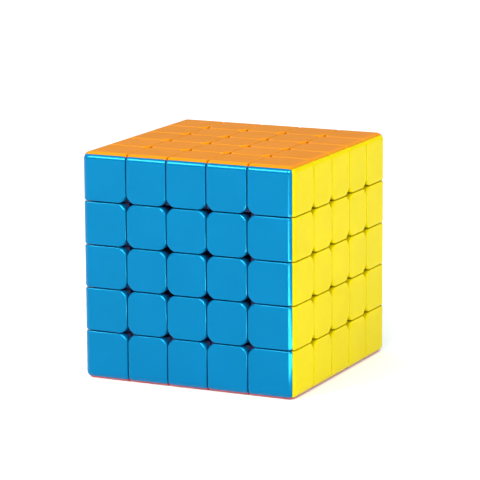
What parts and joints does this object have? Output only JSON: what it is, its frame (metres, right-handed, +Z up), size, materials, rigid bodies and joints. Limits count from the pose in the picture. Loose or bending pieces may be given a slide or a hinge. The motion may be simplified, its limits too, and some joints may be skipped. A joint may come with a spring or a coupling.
{
  "type": "twisty puzzle cube",
  "caption": "Five-layer twisty puzzle cube in coloured stickerless plastic, with turning faces on a screwed and sprung core.",
  "frame": {"origin": "middle of the face it rests on; the turning axes cross at (0, 0, 0.031)", "axes": "+Z up through the orange face, -Y through the blue front face, +X through the yellow right face"},
  "size_m": [0.062, 0.062, 0.062],
  "materials": {
    "blue_plastic": "satin moulded ABS",
    "yellow_plastic": "satin moulded ABS",
    "orange_plastic": "satin moulded ABS",
    "green_plastic": "satin moulded ABS",
    "white_plastic": "satin moulded ABS",
    "red_plastic": "satin moulded ABS",
    "dark_plastic": "dark navy moulded nylon and ABS",
    "screw_steel": "zinc plated",
    "spring_steel": "drawn wire"
  },
  "bodies": {
    "core": {"core_cross": "dark_plastic", "core_ball_halves": "dark_plastic", "centre_screws": "screw_steel", "centre_springs": "spring_steel"},
    "right_centre_block": {"centre_cap_right": "yellow_plastic", "centre_base_right": "dark_plastic", "t_centres_right": "yellow_plastic", "x_centres_right": "yellow_plastic"},
    "left_centre_block": {"centre_cap_left": "white_plastic", "centre_base_left": "dark_plastic", "t_centres_left": "white_plastic", "x_centres_left": "white_plastic"},
    "back_centre_block": {"centre_cap_back": "green_plastic", "centre_base_back": "dark_plastic", "t_centres_back": "green_plastic", "x_centres_back": "green_plastic"},
    "front_centre_block": {"centre_cap_front": "blue_plastic", "centre_base_front": "dark_plastic", "t_centres_front": "blue_plastic", "x_centres_front": "blue_plastic"},
    "up_centre_block": {"centre_cap_up": "orange_plastic", "centre_base_up": "dark_plastic", "t_centres_up": "orange_plastic", "x_centres_up": "orange_plastic"},
    "down_centre_block": {"centre_cap_down": "red_plastic", "centre_base_down": "dark_plastic", "t_centres_down": "red_plastic", "x_centres_down": "red_plastic"},
    "up_right_edge_row": {"edge_up_right": "orange_plastic", "wings_up_right": "orange_plastic"},
    "up_left_edge_row": {"edge_up_left": "orange_plastic", "wings_up_left": "orange_plastic"},
    "down_right_edge_row": {"edge_down_right": "red_plastic", "wings_down_right": "red_plastic"},
    "down_left_edge_row": {"edge_down_left": "red_plastic", "wings_down_left": "red_plastic"},
    "up_front_edge_row": {"edge_up_front": "orange_plastic", "wings_up_front": "orange_plastic"},
    "up_back_edge_row": {"edge_up_back": "orange_plastic", "wings_up_back": "orange_plastic"},
    "down_front_edge_row": {"edge_down_front": "red_plastic", "wings_down_front": "red_plastic"},
    "down_back_edge_row": {"edge_down_back": "red_plastic", "wings_down_back": "red_plastic"},
    "front_right_edge_row": {"edge_front_right": "blue_plastic", "wings_front_right": "blue_plastic"},
    "front_left_edge_row": {"edge_front_left": "blue_plastic", "wings_front_left": "blue_plastic"},
    "back_right_edge_row": {"edge_back_right": "green_plastic", "wings_back_right": "green_plastic"},
    "back_left_edge_row": {"edge_back_left": "green_plastic", "wings_back_left": "green_plastic"},
    "up_front_right_corner_piece": {"corner_up_front_right": "orange_plastic"},
    "up_front_left_corner_piece": {"corner_up_front_left": "orange_plastic"},
    "up_back_right_corner_piece": {"corner_up_back_right": "orange_plastic"},
    "up_back_left_corner_piece": {"corner_up_back_left": "orange_plastic"},
    "down_front_right_corner_piece": {"corner_down_front_right": "red_plastic"},
    "down_front_left_corner_piece": {"corner_down_front_left": "red_plastic"},
    "down_back_right_corner_piece": {"corner_down_back_right": "red_plastic"},
    "down_back_left_corner_piece": {"corner_down_back_left": "red_plastic"}
  },
  "joints": [
    {"name": "right_face_turn", "type": "hinge", "parent": "core", "child": "right_centre_block", "pos_m": [0, 0, 0.031], "axis": [1, 0, 0], "continuous": true},
    {"name": "left_face_turn", "type": "hinge", "parent": "core", "child": "left_centre_block", "pos_m": [0, 0, 0.031], "axis": [1, 0, 0], "continuous": true},
    {"name": "back_face_turn", "type": "hinge", "parent": "core", "child": "back_centre_block", "pos_m": [0, 0, 0.031], "axis": [0, 1, 0], "continuous": true},
    {"name": "front_face_turn", "type": "hinge", "parent": "core", "child": "front_centre_block", "pos_m": [0, 0, 0.031], "axis": [0, 1, 0], "continuous": true},
    {"name": "up_face_turn", "type": "hinge", "parent": "core", "child": "up_centre_block", "pos_m": [0, 0, 0.031], "axis": [0, 0, 1], "continuous": true},
    {"name": "down_face_turn", "type": "hinge", "parent": "core", "child": "down_centre_block", "pos_m": [0, 0, 0.031], "axis": [0, 0, 1], "continuous": true},
    {"name": "up_right_edge_row_turn", "type": "hinge", "parent": "right_centre_block", "child": "up_right_edge_row", "pos_m": [0, 0, 0.031], "axis": [0, 0, 1], "continuous": true},
    {"name": "up_left_edge_row_turn", "type": "hinge", "parent": "left_centre_block", "child": "up_left_edge_row", "pos_m": [0, 0, 0.031], "axis": [0, 0, 1], "continuous": true},
    {"name": "down_right_edge_row_turn", "type": "hinge", "parent": "right_centre_block", "child": "down_right_edge_row", "pos_m": [0, 0, 0.031], "axis": [0, 0, 1], "continuous": true},
    {"name": "down_left_edge_row_turn", "type": "hinge", "parent": "left_centre_block", "child": "down_left_edge_row", "pos_m": [0, 0, 0.031], "axis": [0, 0, 1], "continuous": true},
    {"name": "up_front_edge_row_turn", "type": "hinge", "parent": "up_centre_block", "child": "up_front_edge_row", "pos_m": [0, 0, 0.031], "axis": [0, 1, 0], "continuous": true},
    {"name": "up_back_edge_row_turn", "type": "hinge", "parent": "up_centre_block", "child": "up_back_edge_row", "pos_m": [0, 0, 0.031], "axis": [0, 1, 0], "continuous": true},
    {"name": "down_front_edge_row_turn", "type": "hinge", "parent": "down_centre_block", "child": "down_front_edge_row", "pos_m": [0, 0, 0.031], "axis": [0, 1, 0], "continuous": true},
    {"name": "down_back_edge_row_turn", "type": "hinge", "parent": "down_centre_block", "child": "down_back_edge_row", "pos_m": [0, 0, 0.031], "axis": [0, 1, 0], "continuous": true},
    {"name": "front_right_edge_row_turn", "type": "hinge", "parent": "front_centre_block", "child": "front_right_edge_row", "pos_m": [0, 0, 0.031], "axis": [1, 0, 0], "continuous": true},
    {"name": "front_left_edge_row_turn", "type": "hinge", "parent": "front_centre_block", "child": "front_left_edge_row", "pos_m": [0, 0, 0.031], "axis": [1, 0, 0], "continuous": true},
    {"name": "back_right_edge_row_turn", "type": "hinge", "parent": "back_centre_block", "child": "back_right_edge_row", "pos_m": [0, 0, 0.031], "axis": [1, 0, 0], "continuous": true},
    {"name": "back_left_edge_row_turn", "type": "hinge", "parent": "back_centre_block", "child": "back_left_edge_row", "pos_m": [0, 0, 0.031], "axis": [1, 0, 0], "continuous": true},
    {"name": "up_front_right_corner_piece_turn", "type": "hinge", "parent": "up_right_edge_row", "child": "up_front_right_corner_piece", "pos_m": [0, 0, 0.031], "axis": [0, 1, 0], "continuous": true},
    {"name": "up_front_left_corner_piece_turn", "type": "hinge", "parent": "up_left_edge_row", "child": "up_front_left_corner_piece", "pos_m": [0, 0, 0.031], "axis": [0, 1, 0], "continuous": true},
    {"name": "up_back_right_corner_piece_turn", "type": "hinge", "parent": "up_right_edge_row", "child": "up_back_right_corner_piece", "pos_m": [0, 0, 0.031], "axis": [0, 1, 0], "continuous": true},
    {"name": "up_back_left_corner_piece_turn", "type": "hinge", "parent": "up_left_edge_row", "child": "up_back_left_corner_piece", "pos_m": [0, 0, 0.031], "axis": [0, 1, 0], "continuous": true},
    {"name": "down_front_right_corner_piece_turn", "type": "hinge", "parent": "down_right_edge_row", "child": "down_front_right_corner_piece", "pos_m": [0, 0, 0.031], "axis": [0, 1, 0], "continuous": true},
    {"name": "down_front_left_corner_piece_turn", "type": "hinge", "parent": "down_left_edge_row", "child": "down_front_left_corner_piece", "pos_m": [0, 0, 0.031], "axis": [0, 1, 0], "continuous": true},
    {"name": "down_back_right_corner_piece_turn", "type": "hinge", "parent": "down_right_edge_row", "child": "down_back_right_corner_piece", "pos_m": [0, 0, 0.031], "axis": [0, 1, 0], "continuous": true},
    {"name": "down_back_left_corner_piece_turn", "type": "hinge", "parent": "down_left_edge_row", "child": "down_back_left_corner_piece", "pos_m": [0, 0, 0.031], "axis": [0, 1, 0], "continuous": true}
  ],
  "couplings": [
    {"joint": "up_right_edge_row_turn", "follows": "up_face_turn", "ratio": 1},
    {"joint": "up_left_edge_row_turn", "follows": "up_face_turn", "ratio": 1},
    {"joint": "down_right_edge_row_turn", "follows": "down_face_turn", "ratio": 1},
    {"joint": "down_left_edge_row_turn", "follows": "down_face_turn", "ratio": 1},
    {"joint": "up_front_edge_row_turn", "follows": "front_face_turn", "ratio": 1},
    {"joint": "up_back_edge_row_turn", "follows": "back_face_turn", "ratio": 1},
    {"joint": "down_front_edge_row_turn", "follows": "front_face_turn", "ratio": 1},
    {"joint": "down_back_edge_row_turn", "follows": "back_face_turn", "ratio": 1},
    {"joint": "front_right_edge_row_turn", "follows": "right_face_turn", "ratio": 1},
    {"joint": "front_left_edge_row_turn", "follows": "left_face_turn", "ratio": 1},
    {"joint": "back_right_edge_row_turn", "follows": "right_face_turn", "ratio": 1},
    {"joint": "back_left_edge_row_turn", "follows": "left_face_turn", "ratio": 1},
    {"joint": "up_front_right_corner_piece_turn", "follows": "front_face_turn", "ratio": 1},
    {"joint": "up_front_left_corner_piece_turn", "follows": "front_face_turn", "ratio": 1},
    {"joint": "up_back_right_corner_piece_turn", "follows": "back_face_turn", "ratio": 1},
    {"joint": "up_back_left_corner_piece_turn", "follows": "back_face_turn", "ratio": 1},
    {"joint": "down_front_right_corner_piece_turn", "follows": "front_face_turn", "ratio": 1},
    {"joint": "down_front_left_corner_piece_turn", "follows": "front_face_turn", "ratio": 1},
    {"joint": "down_back_right_corner_piece_turn", "follows": "back_face_turn", "ratio": 1},
    {"joint": "down_back_left_corner_piece_turn", "follows": "back_face_turn", "ratio": 1}
  ]
}
